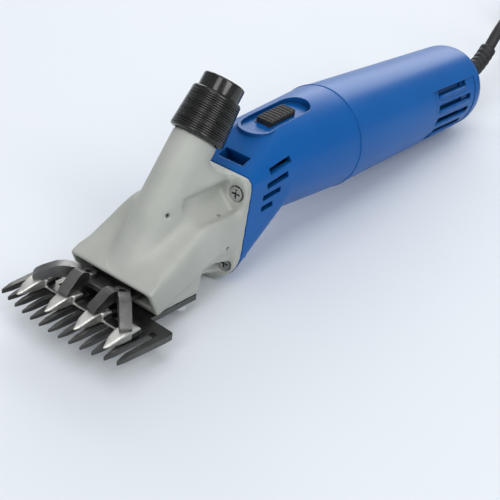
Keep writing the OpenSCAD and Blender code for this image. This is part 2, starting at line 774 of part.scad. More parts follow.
module crank_shaft() {
    color(steel) {
        bar(gear_x - 3, cavity_x - gear_x + 3.4, shaft_r, crank_z);
        bar(cavity_x + 0.4, 2.8, 8, crank_z);
        bar(cavity_x + 3, 10.4, 2.5, crank_z + crank_throw);
    }
}

module crank_roller() {
    color(steel) across(pin_x + 1.4) translate([0, crank_z + crank_throw, 0]) difference() {
        cylinder(r = roller_r, h = 8);
        translate([0, 0, -1]) cylinder(r = 2.51, h = 12);
    }
}

module tension_spindle() {
    color(steel) tube_frame() difference() {
        translate([0, 0, pin_s - 2]) cylinder(r = spindle_r, h = thread_s + 4 - pin_s + 2);
        translate([0, 0, pin_s - 3]) cylinder(r = 4.4, h = 7.5);
    }
}

// Pin that rocks between the spindle and the cup of the lever
module tension_pin() {
    color(steel) tube_frame() {
        translate([0, 0, pin_s]) sphere(4, $fn = 48);
        translate([0, 0, cup_s + ball_r - 1.6]) cylinder(r = 2.2, h = pin_s - cup_s - ball_r + 1.6);
        translate([0, 0, cup_s + ball_r - 1.6]) sphere(ball_r, $fn = 48);
    }
}

// Knurled nut, slightly tapered: straight grooves here, the crossing set is left to the surface finish
module tension_nut() {
    draft = atan((nut_r - nut_top_r) / nut_h);
    color(dark) tube_frame() difference() {
        translate([0, 0, nut_s]) cylinder(r1 = nut_r, r2 = nut_top_r, h = nut_h);
        translate([0, 0, nut_s - 1]) cylinder(r = tube_r - 1.8 + 0.4, h = thread_s - nut_s + 1.6);
        translate([0, 0, nut_s - 1]) cylinder(r = spindle_r + run_gap, h = thread_s - nut_s + 5.4);
        translate([0, 0, nut_s - 0.1]) cylinder(r1 = tube_r - 0.4, r2 = tube_r - 1.6, h = 1.2);
        for (i = [0 : 47]) rotate(360 * i / 48) translate([nut_r, 0, nut_s]) rotate([0, -draft, 0])
            translate([0, 0, 1.2]) rotate([0, 0, 45])
                translate([-0.35, -0.35, 0]) cube([0.7, 0.7, nut_h - 2.4]);
    }
}

module nut_cap() {
    color(dark) tube_frame() translate([0, 0, nut_s + nut_h]) {
        cylinder(r = cap_r, h = cap_h - 1.2);
        translate([0, 0, cap_h - 1.2]) cylinder(r1 = cap_r, r2 = cap_r - 1.2, h = 1.2);
    }
}

// Ribbed sleeve that guides the cord out of the rear end: collar, tapered root and bent ribbed end
module cord_sleeve() {
    sides = 20;
    ribs = [for (s = [14 : 5 : 44]) each [[s, 5.8], [s + 1.6, 5.1], [s + 2.4, 5.1], [s + 4, 5.8]]];
    outer = concat([[-wall + 0.2, 6], [0.05, 6], [0.05, 7.6], [2.6, 7.4], [3.6, 6.5]], ribs,
        [[sleeve_l - 0.6, 5.7], [sleeve_l, 5.1]]);
    inner = [for (i = [12 : -1 : 0]) [-wall + 0.2 + i / 12 * (sleeve_l + wall - 0.2), cord_r + 0.1]];
    skin = concat(outer, inner);
    points = [for (e = skin) each ring(sleeve_mid(e[0]), sleeve_way(e[0]), e[1], sides)];
    color(dark) polyhedron(points, [for (i = [0 : len(skin) - 1], j = [0 : sides - 1])
        let (n = (i + 1) % len(skin), m = (j + 1) % sides)
        [i * sides + j, i * sides + m, n * sides + m, n * sides + j]]);
}

module sweep(path, r, sides) {
    last = len(path) - 1;
    tangents = [for (i = [0 : last]) unit(path[min(i + 1, last)] - path[max(i - 1, 0)])];
    points = [for (i = [0 : last]) each ring(path[i], tangents[i], r, sides)];
    quads = [for (i = [0 : last - 1], j = [0 : sides - 1])
        [i * sides + j, i * sides + (j + 1) % sides, (i + 1) * sides + (j + 1) % sides, (i + 1) * sides + j]];
    near_end = [for (j = [sides - 1 : -1 : 0]) j];
    far_end = [for (j = [0 : sides - 1]) last * sides + j];
    polyhedron(points, concat([near_end], quads, [far_end]));
}

// Free stretch of the cord from the sleeve down to the floor and on to the coil
coil_top = coil_z + coil_step * (coil_layers - 1);
coil_start = [coil_c[0] + coil_out * sin(coil_lead), coil_c[1] - coil_out * cos(coil_lead), coil_z];
coil_end = [coil_c[0], coil_c[1] + coil_out, coil_top];
coil_dir = [-cos(coil_lead), -sin(coil_lead), 0];
cord_points = concat(
    [stood(sleeve_at(sleeve_rise - 33.4)), stood(sleeve_at(sleeve_rise - 16.7)), sleeve_end],
    [for (p = [[-9.3, 0, 44.5], [-19.7, 0, 51.6], [-31.7, 0, 55.7], [-44.3, 0, 56], [-56.3, -0.1, 52.1],
        [-66.6, -0.9, 44.8], [-75, -2.2, 35.5], [-82.4, -4.1, 25.4], [-90.5, -6.9, 16.1],
        [-100.3, -11.3, 9.5], [-111, -17.2, 6.3]]) [sleeve_end[0] + p[0], p[1], p[2]]],
    [coil_start - (cord_d + 0.2) * coil_dir, coil_start + 5 * coil_dir]);
cord_path = concat(curve(cord_points, 4), [coil_start - (cord_d + 0.2) * coil_dir]);
coil_path = concat([coil_start - cord_d * coil_dir],
    [for (i = [0 : round(25 * coil_loops)]) let (t = i / 25, per = coil_loops / coil_layers,
        k = min(floor(t / per), coil_layers - 1), f = t / per - k, across = coil_out - coil_in,
        r = k % 2 == 0 ? coil_out - f * across : coil_in + f * across,
        lift = sum([for (m = [1 : coil_layers - 1]) smooth((t - m * per + 0.25) / 0.5)]))
        [coil_c[0] - r * sin(360 * t - coil_lead), coil_c[1] - r * cos(360 * t - coil_lead),
            coil_z + coil_step * lift]],
    [coil_end + [cord_d, 0, 0]]);
// Tail from the top of the coil down into the plug
tail_start = coil_end + [cord_d + 0.2, 0, 0];
tail_points = [tail_start - [16, 0, 0], tail_start, tail_start + [18, -2, -2],
    tail_end + [-41, 6.5, 7.4], tail_end + [-20, 1.5, 1.9], tail_end, tail_end + [20, 0, 0]];
tail_path = concat(curve(tail_points, 4), [tail_end]);
echo(lead_length = path_length(cord_path) + path_length(coil_path) + path_length(tail_path) + sleeve_l);
echo(coil_gap = min([for (i = [0 : 3 : len(coil_path) - 1], j = [i + 16 : len(coil_path) - 1])
    norm(coil_path[i] - coil_path[j])]) - cord_d);

module cord() {
    color(dark) sweep(cord_path, cord_r, 10);
}

module cord_coil() {
    color(dark) sweep(coil_path, cord_r, 6);
}

module cord_tail() {
    color(dark) sweep(tail_path, cord_r, 10);
}

// Strap round the bundle of turns
module coil_tie() {
    from = coil_in - cord_r - 0.4;
    to = coil_out - 3.7 + cord_r + 0.4;
    w = to - from;
    h = coil_step * (coil_layers - 1) + cord_d + 0.8;
    middle = coil_z + coil_step * (coil_layers - 1) / 2;
    color(dark) translate([coil_c[0] + (from + to) / 2, coil_c[1], middle])
        rotate([90, 0, 0]) linear_extrude(12, center = true) difference() {
            rounded(w + 2 * tie_t - 0.2, h + 2 * tie_t - 0.2, 5);
            rounded(w, h, 3.5);
        }
}

module plug_body() {
    color(dark) translate(tail_end) rotate([0, 90, 0]) difference() {
        union() {
            cylinder(r1 = 8, r2 = 18, h = 22);
            translate([0, 0, 21.9]) cylinder(r = 18, h = 14);
        }
        translate([0, 0, -1]) cylinder(r = cord_r + 0.1, h = 9);
        for (s = [-1, 1]) translate([0, s * 9.5, 24]) cylinder(r = 2.42, h = 20);
    }
}

module plug_pins() {
    color(steel) translate(tail_end) rotate([0, 90, 0])
        for (s = [-1, 1]) translate([0, s * 9.5, 24]) cylinder(r = 2.4, h = 31);
}

stand() head_casting();
stand() front_housing();
stand() rear_housing();
stand() flange_screws();
stand() comb();
stand() comb_screws();
stand() centre_post();
stand() crank_bearings();
stand() bearing_plate();
stand() motor_bearings();
stand() stator_core();
stand() field_coils();
stand() brush_holders();
stand() carbon_brushes();
stand() switch_body();
stand() switch_slider();
stand() motor_shaft();
stand() armature_core();
stand() armature_winding();
stand() commutator();
stand() cooling_fan();
stand() pinion();
stand() crank_gear();
stand() crank_shaft();
stand() crank_roller();
stand() oscillating_lever();
stand() left_claw();
stand() right_claw();
stand() pressure_cup();
stand() cutter();
stand() tension_spindle();
stand() tension_pin();
stand() tension_nut();
stand() nut_cap();
stand() cord_sleeve();
cord();
cord_coil();
cord_tail();
coil_tie();
plug_body();
plug_pins();
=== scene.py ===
import json

import bmesh
import bpy
import numpy as np
from mathutils import Euler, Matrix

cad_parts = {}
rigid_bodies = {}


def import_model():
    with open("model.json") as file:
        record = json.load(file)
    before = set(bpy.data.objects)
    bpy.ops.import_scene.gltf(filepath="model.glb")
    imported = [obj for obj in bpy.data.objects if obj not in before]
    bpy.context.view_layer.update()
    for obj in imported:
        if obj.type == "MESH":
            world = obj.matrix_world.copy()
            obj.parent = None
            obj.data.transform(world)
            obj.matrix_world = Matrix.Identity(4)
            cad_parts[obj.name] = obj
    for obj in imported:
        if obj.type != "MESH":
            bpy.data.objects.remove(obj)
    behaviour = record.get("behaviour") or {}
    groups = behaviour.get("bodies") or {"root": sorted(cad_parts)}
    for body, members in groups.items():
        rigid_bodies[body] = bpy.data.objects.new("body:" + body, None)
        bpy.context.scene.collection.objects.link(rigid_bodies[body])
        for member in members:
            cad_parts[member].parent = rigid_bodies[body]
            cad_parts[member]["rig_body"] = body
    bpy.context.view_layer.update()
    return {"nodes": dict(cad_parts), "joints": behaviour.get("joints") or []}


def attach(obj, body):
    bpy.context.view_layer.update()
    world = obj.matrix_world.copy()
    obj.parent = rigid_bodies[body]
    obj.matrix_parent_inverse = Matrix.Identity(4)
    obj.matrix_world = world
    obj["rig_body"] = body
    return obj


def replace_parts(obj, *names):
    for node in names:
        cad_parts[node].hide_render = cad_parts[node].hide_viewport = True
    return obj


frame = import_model()
joints = {joint["name"]: joint for joint in frame["joints"]}


# Rear housing: the barrel that the hand holds, moulded in blue glass-filled nylon with a
# fine grain. Its round rear end carries the cord, a thin rim marks the seam to the front
# half, and louvred slots with a screen behind them let in the motor's cooling air.
def merged_copy(name, node, sharp_degrees):
    """One skin of the CAD node's triangles: equal corners joined, edges sharp above an angle."""
    mesh = frame["nodes"][node].data.copy()
    mesh.name = name
    skin = bmesh.new()
    skin.from_mesh(mesh)
    bmesh.ops.remove_doubles(skin, verts=skin.verts, dist=2e-6)
    skin.to_mesh(mesh)
    skin.free()
    if "custom_normal" in mesh.attributes:
        mesh.attributes.remove(mesh.attributes["custom_normal"])
    mesh.shade_smooth()
    mesh.set_sharp_from_angle(angle=np.radians(sharp_degrees))
    piece = bpy.data.objects.new(name, mesh)
    bpy.context.scene.collection.objects.link(piece)
    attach(piece, frame["nodes"][node]["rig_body"])
    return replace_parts(piece, node)


def dress(piece, material):
    """One material over the whole piece."""
    piece.data.materials.clear()
    piece.data.materials.append(material)
    return piece


def new_material(name):
    """An empty material: its tree, its shader and the object coordinates."""
    material = bpy.data.materials.new(name)
    material.use_nodes = True
    tree = material.node_tree
    coordinates = tree.nodes.new("ShaderNodeTexCoord").outputs["Object"]
    return material, tree, tree.nodes["Principled BSDF"], coordinates


def noise(tree, coordinates, scale, stretch=(1, 1, 1), detail=3):
    """Cloudy noise of so many patches to the metre, stretched along the axes."""
    place = tree.nodes.new("ShaderNodeMapping")
    place.inputs["Scale"].default_value = stretch
    cloud = tree.nodes.new("ShaderNodeTexNoise")
    cloud.inputs["Scale"].default_value = scale
    cloud.inputs["Detail"].default_value = detail
    tree.links.new(coordinates, place.inputs["Vector"])
    tree.links.new(place.outputs["Vector"], cloud.inputs["Vector"])
    return cloud.outputs["Fac"]


def between(tree, value, low, high, socket, clip=(0.3, 0.7)):
    """The value between two limits, spread over a range and fed into a shader socket."""
    spread = tree.nodes.new("ShaderNodeMapRange")
    spread.inputs["From Min"].default_value = clip[0]
    spread.inputs["From Max"].default_value = clip[1]
    spread.inputs["To Min"].default_value = low
    spread.inputs["To Max"].default_value = high
    tree.links.new(value, spread.inputs["Value"])
    tree.links.new(spread.outputs["Result"], socket)


def tint(tree, value, dark, light, socket, clip=(0.3, 0.7)):
    """A colour between two limits, mixed by the value and fed into a shader socket."""
    mixer = tree.nodes.new("ShaderNodeValToRGB")
    for element, position, colour in zip(mixer.color_ramp.elements, clip, (dark, light)):
        element.position = position
        element.color = (*colour, 1)
    tree.links.new(value, mixer.inputs["Fac"])
    tree.links.new(mixer.outputs["Color"], socket)


def relief(tree, value, depth, strength, shader, edge=0.0):
    """Small relief of the value on the surface, over edges rounded to a radius."""
    bump = tree.nodes.new("ShaderNodeBump")
    bump.inputs["Distance"].default_value = depth
    bump.inputs["Strength"].default_value = strength
    tree.links.new(value, bump.inputs["Height"])
    if edge:
        rounding = tree.nodes.new("ShaderNodeBevel")
        rounding.inputs["Radius"].default_value = edge
        tree.links.new(rounding.outputs["Normal"], bump.inputs["Normal"])
    tree.links.new(bump.outputs["Normal"], shader.inputs["Normal"])


def blue_nylon():
    """Blue moulded nylon: fine grain, a soft sheen, slight cloudy fading, and painted shade that
    darkens the colour in hollows, slots and recesses.
    """
    material, tree, shader, place = new_material("blue_nylon")
    clouds = noise(tree, place, 26)
    grain = noise(tree, place, 2600, detail=2)
    # Painted shade: ambient occlusion darkens the base colour in hollows, slots, recesses and
    # joints.
    painted_shade_in_hollows = tree.nodes.new("ShaderNodeAmbientOcclusion")
    painted_shade_in_hollows.only_local = True
    painted_shade_in_hollows.samples = 8
    painted_shade_in_hollows.inputs["Distance"].default_value = 0.006
    tint(tree, clouds, (0.0025, 0.096, 0.352), (0.004, 0.110, 0.390), painted_shade_in_hollows.inputs["Color"])
    tree.links.new(painted_shade_in_hollows.outputs["Color"], shader.inputs["Base Color"])
    between(tree, grain, 0.30, 0.40, shader.inputs["Roughness"])
    shader.inputs["Specular IOR Level"].default_value = 0.16
    relief(tree, grain, 0.00006, 0.35, shader, edge=0.0009)
    return material


def grid_piece(name, points):
    """A closed grid of points, rows and columns both running round, as a mesh of quads."""
    rows, columns = points.shape[:2]
    i = np.arange(rows)[:, None]
    j = np.arange(columns)[None, :]
    corner = i * columns + j
    right = i * columns + (j + 1) % columns
    above = (i + 1) % rows * columns + j
    beyond = (i + 1) % rows * columns + (j + 1) % columns
    quads = np.stack([corner, right, beyond, above], axis=-1).reshape(-1, 4)
    mesh = bpy.data.meshes.new(name)
    mesh.from_pydata(points.reshape(-1, 3), [], quads)
    skin = bmesh.new()
    skin.from_mesh(mesh)
    bmesh.ops.remove_doubles(skin, verts=skin.verts, dist=1e-7)
    bmesh.ops.recalc_face_normals(skin, faces=skin.faces)
    skin.to_mesh(mesh)
    skin.free()
    mesh.shade_smooth()
    mesh.set_sharp_from_angle(angle=np.radians(40))
    piece = bpy.data.objects.new(name, mesh)
    bpy.context.scene.collection.objects.link(piece)
    return piece


def revolved(name, profile, origin, axis, sides, relief_of=None):
    """Points at radius r round an axis for each (r, s) of a closed profile; a relief adds to r."""
    r, s = np.asarray(profile, float).T
    turn = np.linspace(0, 2 * np.pi, sides, endpoint=False)
    radius = np.repeat(r[:, None], sides, axis=1)
    if relief_of is not None:
        radius = radius + relief_of(turn[None, :], s[:, None], r[:, None])
    side = np.cross(axis, [0.0, 1.0, 0.0])
    side = side / np.linalg.norm(side)
    up = np.cross(axis, side)
    points = (
        np.asarray(origin)
        + s[:, None, None] * np.asarray(axis)
        + (radius * np.cos(turn))[..., None] * side
        + (radius * np.sin(turn))[..., None] * up
    )
    return grid_piece(name, points)


def circle_round(start, end):
    """24 unit vectors in a circle, square to the line between two points."""
    along = (end - start) / np.linalg.norm(end - start)
    side = np.cross(along, [0.3, 0.5, 0.8])
    side = side / np.linalg.norm(side)
    turn = np.linspace(0, 2 * np.pi, 24, endpoint=False)[:, None]
    return np.cos(turn) * side + np.sin(turn) * np.cross(along, side)


def slim_bar(name, start, end, radius):
    """A bar of a round section whose radius r (1 - s^8)^(1/2) rounds off at both ends."""
    s = np.sin(np.linspace(-np.pi / 2, np.pi / 2, 25))[:, None, None]
    middle = (start + end) / 2 + s * (end - start) / 2
    swell = radius * np.sqrt(np.clip(1 - s**8, 0, 1))
    return grid_piece(name, middle + swell * circle_round(start, end))


def combine(piece, tool, operation):
    """The piece's skin joined with, or cut by, a second closed skin that is then used up."""
    cut = piece.modifiers.new("cut", "BOOLEAN")
    cut.operation = operation
    cut.object = tool
    cut.solver = "EXACT"
    graph = bpy.context.evaluated_depsgraph_get()
    piece.data = bpy.data.meshes.new_from_object(piece.evaluated_get(graph))
    piece.modifiers.clear()
    bpy.data.objects.remove(tool)
    piece.data.set_sharp_from_angle(angle=np.radians(32))


handle_axis = np.array(joints["armature_turn"]["axis"])
handle_up = np.cross(handle_axis, [0.0, 1.0, 0.0])
seam = np.array(joints["armature_turn"]["pos_m"])


def in_handle(forward, up, near=0.0):
    """A point given from the seam along the handle, above its axis and to the near side."""
    return seam + forward * handle_axis + up * handle_up + [0, near, 0]


nylon = blue_nylon()
rear_shell = merged_copy("rear_shell", "rear_housing", 32)

grip_radius = 0.029
rim_half = 0.00045
rim_turn = np.linspace(0, 2 * np.pi, 24, endpoint=False)
rim_profile = np.stack(
    [grip_radius - 0.0001 + rim_half * np.sin(rim_turn), -0.0005 + rim_half * np.cos(rim_turn)],
    axis=1,
)
combine(rear_shell, revolved("seam_rim", rim_profile, seam, handle_axis, 160), "UNION")

# Each slot's middle, half length and height, and the lip below it
rear_slots = (
    (-0.113, 0.0185, 0.0135),
    (-0.116, 0.0211, 0.0051),
    (-0.116, 0.0211, -0.0033),
    (-0.116, 0.0185, -0.0117),
)
panel_radius = 0.0263
lip_radius = 0.0014
lip_drop = 0.0028
lip_sunk = 0.0002
for side in (-1, 1):
    for middle, half, height in rear_slots:
        up = side * height - lip_drop
        near = side * (np.sqrt(panel_radius**2 - up**2) - lip_sunk)
        lip_ends = (in_handle(middle + end * half, up, near) for end in (-1, 1))
        combine(rear_shell, slim_bar("louvre_lip", *lip_ends, lip_radius), "UNION")

# Thin tube behind the slots, flanged out to the wall at both ends
screen_profile = [
    [0.0226, -0.1405],
    [0.0226, -0.0915],
    [0.0253, -0.0915],
    [0.0253, -0.0930],
    [0.0234, -0.0940],
    [0.0234, -0.1380],
    [0.0250, -0.1390],
    [0.0250, -0.1405],
]
combine(rear_shell, revolved("vent_screen", screen_profile, seam, handle_axis, 96), "UNION")
dress(rear_shell, nylon)


# Front housing: the other half of the moulded body. It necks in behind the head, holds the
# switch in a recess on top, and opens into the flange that the head is screwed to. Inner
# plates hang behind its air slots, and bosses close the ends of the lower screws.
def sloping(forward, up, fall_degrees, near=0.0):
    """A flat place on the housing: its middle, the way down its slope and the way out of it."""
    fall = np.radians(fall_degrees)
    return (
        in_handle(forward, up, near),
        np.cos(fall) * handle_axis - np.sin(fall) * handle_up,
        np.sin(fall) * handle_axis + np.cos(fall) * handle_up,
    )


def placed(place, along, across, height):
    """Points given down the slope of a flat place, across it and above it."""
    middle, down, out = place
    return (
        middle
        + np.asarray(along)[..., None] * down
        + np.asarray(across)[..., None] * [0.0, 1.0, 0.0]
        + np.asarray(height)[..., None] * out
    )


def rounded_block(name, place, length, width, corner, bottom, top):
    """An upright block whose outline is a rectangle with quarter circles at its corners."""
    turn = np.linspace(0, 2 * np.pi, 64, endpoint=False) + np.pi / 64
    along = corner * np.cos(turn) + np.sign(np.cos(turn)) * (length / 2 - corner)
    across = corner * np.sin(turn) + np.sign(np.sin(turn)) * (width / 2 - corner)
    size = np.array([0, 1, 1, 0])[:, None]
    height = np.array([bottom, bottom, top, top])[:, None] + 0 * turn
    return grid_piece(name, placed(place, size * along, size * across, height))


slide = sloping(0.045, 0.02505, 5.01)
window = sloping(0.0845, 0.01262, 22.56)
window_far = sloping(0.0845, 0.01262, 22.56, -0.0080)
window_near = sloping(0.0845, 0.01262, 22.56, 0.00575)
plate_far = sloping(0.0693, 0, 0, -0.013)
plate_near = sloping(0.0693, 0, 0, 0.013)
front_shell = merged_copy("front_shell", "front_housing", 32)
# Length, width and corner of each block, and its bottom and top above the flat place
for name, place, length, width, corner, bottom, top, operation in (
    ("recess_bed", slide, 0.052, 0.0200, 0.0100, -0.0060, -0.0021, "UNION"),
    ("recess_room", slide, 0.048, 0.0174, 0.0087, -0.0036, 0.0100, "DIFFERENCE"),
    ("vent_plate_far", plate_far, 0.0226, 0.0024, 0.0002, -0.0120, 0.0134, "UNION"),
    ("vent_plate_near", plate_near, 0.0226, 0.0024, 0.0002, -0.0120, 0.0134, "UNION"),
    ("window_bed", window, 0.0110, 0.0290, 0.0010, -0.0080, -0.0024, "UNION"),
    ("window_end", window_far, 0.0070, 0.0120, 0.0001, -0.0030, -0.00001, "UNION"),
    ("window_room", window_near, 0.0066, 0.0155, 0.0010, -0.0066, 0.0010, "DIFFERENCE"),
):
    combine(front_shell, rounded_block(name, place, length, width, corner, bottom, top), operation)
low_screw_up = -0.038
low_screw_out = 0.018
boss_radius = 0.0024
for side in (-1, 1):
    boss_ends = (in_handle(at, low_screw_up, side * low_screw_out) for at in (0.0805, 0.087))
    combine(front_shell, slim_bar("screw_boss", *boss_ends, boss_radius), "UNION")
dress(front_shell, nylon)


# Head: an aluminium die casting with a flange, a gear case, a tension tube and a flat spout
# over the comb, blasted to a pale satin grey. Four screws hold it to the front housing.
def cast_aluminium():
    """Satin blasted casting: pale grey in soft clouds, with fine pits."""
    material, tree, shader, place = new_material("cast_aluminium")
    clouds = noise(tree, place, 34)
    pits = noise(tree, place, 1700, detail=3)
    tint(tree, clouds, (0.40, 0.415, 0.38), (0.475, 0.485, 0.45), shader.inputs["Base Color"])
    between(tree, pits, 0.50, 0.66, shader.inputs["Roughness"])
    shader.inputs["Specular IOR Level"].default_value = 0.35
    shader.inputs["Metallic"].default_value = 0.15
    relief(tree, pits, 0.00007, 0.4, shader)
    return material


def even_copy(name, node, voxel):
    """The CAD node's solid skinned again in fine even cells."""
    piece = merged_copy(name, node, 180)
    cells = piece.modifiers.new("even_cells", "REMESH")
    cells.mode = "VOXEL"
    cells.voxel_size = voxel
    graph = bpy.context.evaluated_depsgraph_get()
    piece.data = bpy.data.meshes.new_from_object(piece.evaluated_get(graph))
    piece.modifiers.clear()
    piece.data.shade_smooth()
    return piece


def points_of(piece):
    """The places of all points of a piece's mesh."""
    places = np.empty(3 * len(piece.data.vertices))
    piece.data.vertices.foreach_get("co", places)
    return places.reshape(-1, 3)


def ease(piece, passes, weight):
    """Every point moved part of the way to the middle of its neighbours, over and over."""
    places = points_of(piece)
    ends = np.empty(2 * len(piece.data.edges), dtype=np.int32)
    piece.data.edges.foreach_get("vertices", ends)
    here, there = np.concatenate([ends.reshape(-1, 2), ends.reshape(-1, 2)[:, ::-1]]).T
    count = np.bincount(here, minlength=len(places))
    for _ in range(passes):
        middle = [np.bincount(here, places[there, k], len(places)) / count for k in range(3)]
        places = places + (np.asarray(weight) * (np.array(middle) - places.T)).T
    piece.data.vertices.foreach_set("co", places.ravel())


def ramp(value, low, high):
    """0 below the low limit and 1 above the high one, straight in between."""
    return np.clip((value - low) / (high - low), 0, 1)


def off_line(places, start, along):
    """Distance of points from a line."""
    return np.linalg.norm(np.cross(places - start, along), axis=1)


def round_bar(name, start, end, radius):
    """A short round bar between two points, closed flat at both ends."""
    ring = radius * circle_round(start, end)
    return grid_piece(name, np.stack([start + 0 * ring, start + ring, end + ring, end + 0 * ring]))


tube_axis = np.array(joints["nut_turn"]["axis"])
nut_foot = np.array(joints["nut_turn"]["pos_m"])
head = even_copy("head_casting_skin", "head_casting", 0.0007)
places = points_of(head)
forward = (places - seam) @ handle_axis
height = (places - seam) @ handle_up
up_tube = (places - nut_foot) @ tube_axis
# The forms flow into each other between flange and mouth and above the comb's seat, but
# the tube's upper wall and the seats of the upper screws keep their shape
flow = ramp(forward, 0.0965, 0.1000) * ramp(-forward, -0.1560, -0.1500)
flow = flow * ramp(height, -0.027, -0.022)
flow = flow * np.maximum(
    ramp(off_line(places, nut_foot, tube_axis), 0.0112, 0.0126), ramp(-up_tube, 0.038, 0.048)
)
for side in (-1, 1):
    screw = in_handle(0, 0.001, side * 0.0185)
    flow = flow * ramp(off_line(places, screw, handle_axis), 0.005, 0.008)
# The tube's foot sinks into the roof on its way to the mouth
roof = 0.0095 - 0.574 * (forward - 0.095)
sunk = ramp(height - roof, 0, 0.001) * (height - roof) * ramp(forward, 0.143, 0.158)
head.data.vertices.foreach_set("co", (places - sunk[:, None] * handle_up).ravel())
ease(head, 90, 0.5 * flow)
ease(head, 7, 0.5)

hole_radius = 0.0011
hole_depth = 0.006
tube_front = np.cross([0.0, 1.0, 0.0], tube_axis)
tube_near = np.cos(np.radians(65)) * tube_front + np.sin(np.radians(65)) * np.array([0, 1, 0])
for name, middle, along in (
    ("tube_hole", nut_foot - 0.039 * tube_axis + 0.0112 * tube_near, tube_near),
    ("cheek_hole", in_handle(0.1072, -0.0077, 0.0178), handle_up),
    ("side_hole", in_handle(0.1046, -0.0239, 0.0242), np.array([0, 1, 0])),
):
    inner, outer = middle - hole_depth * along, middle + hole_depth * along
    combine(head, round_bar(name, inner, outer, hole_radius), "DIFFERENCE")
head.data.set_sharp_from_angle(angle=np.radians(50))
dress(head, cast_aluminium())


# Tension nut: a hand nut of hard black plastic on top of the tube, ringed for grip and
# closed by a polished cap. Turning it presses the claws on the cutter.
nut_radius = 0.0140
nut_top_radius = 0.0124
nut_height = 0.022
knurl_count = 80
knurl_depth = 0.00040
plain_edge = 0.0014
edge_fade = 0.0004
groove_share = 0.2


def ringed_wall(turn, along, radius):
    """Rounded rings on the outer wall, faintly notched lengthwise, plain near both ends."""
    pitch = 2 * np.pi * nut_radius / knurl_count
    rings = np.abs(np.sin(np.pi * along / pitch))
    notches = np.abs(np.sin(turn * knurl_count / 2))
    stud = rings * (1 - groove_share + groove_share * notches)
    wall = (radius > nut_top_radius - 1e-6) * np.clip((along - plain_edge) / edge_fade, 0, 1)
    wall = wall * np.clip((nut_height - plain_edge - along) / edge_fade, 0, 1)
    return -knurl_depth * (1 - np.clip(1.5 * stud, 0, 1)) * wall


nut_draft = (nut_radius - nut_top_radius) / nut_height
nut_wall = np.linspace(0.0012, nut_height - 0.0012, 130)
nut_profile = np.concatenate(
    [
        [[0.0112, 0.0], [0.0129, 0.0], [0.0136, 0.0005]],
        np.stack([nut_radius - nut_draft * nut_wall, nut_wall], axis=1),
        [[0.0122, nut_height - 0.0005], [0.0116, nut_height], [0.0070, nut_height]],
        [[0.0070, nut_height - 0.003], [0.0112, nut_height - 0.003]],
    ]
)


def hard_black_plastic():
    """Hard black plastic with a waxy sheen, greyed a little where hands rub it."""
    material, tree, shader, place = new_material("hard_black_plastic")
    wear = noise(tree, place, 1400)
    grain = noise(tree, place, 3000)
    tint(tree, wear, (0.005, 0.005, 0.0047), (0.012, 0.012, 0.0108), shader.inputs["Base Color"])
    between(tree, wear, 0.20, 0.30, shader.inputs["Roughness"])
    relief(tree, grain, 0.00002, 0.2, shader)
    return material


knurled_nut = revolved("knurled_nut", nut_profile, nut_foot, tube_axis, 560, ringed_wall)
dress(knurled_nut, hard_black_plastic())
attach(knurled_nut, "nut")
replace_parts(knurled_nut, "tension_nut")

cap_radius = 0.0106
cap_height = 0.0075
cap_edge = 0.0011
cap_turn = np.linspace(0, np.pi / 2, 7)
cap_profile = np.concatenate(
    [
        [[0.0, -0.001], [cap_radius, -0.001]],
        np.stack(
            [
                cap_radius - cap_edge * (1 - np.cos(cap_turn)),
                cap_height - cap_edge * (1 - np.sin(cap_turn)),
            ],
            axis=1,
        ),
        [[0.0085, cap_height], [0.0080, cap_height - 0.0004], [0.0, cap_height - 0.0004]],
    ]
)


def polished_black():
    """Polished black cap: a clear sharp gloss with faint fine wiping marks."""
    material, tree, shader, place = new_material("polished_black")
    marks = noise(tree, place, 900, stretch=(1, 1, 0.2))
    tint(tree, marks, (0.006, 0.006, 0.006), (0.011, 0.011, 0.010), shader.inputs["Base Color"])
    between(tree, marks, 0.14, 0.24, shader.inputs["Roughness"])
    relief(tree, marks, 0.00001, 0.2, shader)
    shader.inputs["Coat Weight"].default_value = 0.2
    return material


cap = revolved("polished_cap", cap_profile, nut_foot + nut_height * tube_axis, tube_axis, 128)
dress(cap, polished_black())
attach(cap, "nut")
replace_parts(cap, "nut_cap")


# Comb: a plate of hardened steel with thirteen long teeth, ground on top along the teeth.
# Two screws clamp it under the head.
def ground_steel(name, dark, light, rough, along, bright_where=None):
    """Ground steel: scratches running one way, bright in patches or where an attribute says."""
    material, tree, shader, place = new_material(name)
    scratches = noise(tree, place, 420, stretch=along, detail=4)
    if bright_where:
        share = tree.nodes.new("ShaderNodeAttribute")
        share.attribute_name = bright_where
        bright = share.outputs["Fac"]
    else:
        bright = noise(tree, place, 90)
    tint(tree, bright, dark, light, shader.inputs["Base Color"])
    between(tree, scratches, rough[0], rough[1], shader.inputs["Roughness"])
    relief(tree, scratches, 0.00003, 0.35, shader, edge=0.00025)
    shader.inputs["Metallic"].default_value = 1.0
    return material


comb_steel = ground_steel(
    "comb_steel", (0.08, 0.08, 0.077), (0.125, 0.125, 0.121), (0.3, 0.45), (0.15, 3, 3)
)
comb = merged_copy("comb_plate", "comb", 30)
dress(comb, comb_steel)


# Cutter: four points of hardened steel that sweep across the comb, pushed by the claws' prongs. The
# points and the top of the cutter are coloured pale, partly as ground steel and partly as a painted
# reflection, and the bar that joins them behind is coloured dark.
cutter = even_copy("cutter_points", "cutter", 0.0003)
ease(cutter, 14, 0.5)
cutter_places = points_of(cutter)
cutter_foot = cutter_places[:, 2].min()
cutter_tips = cutter_places[:, 0].max()
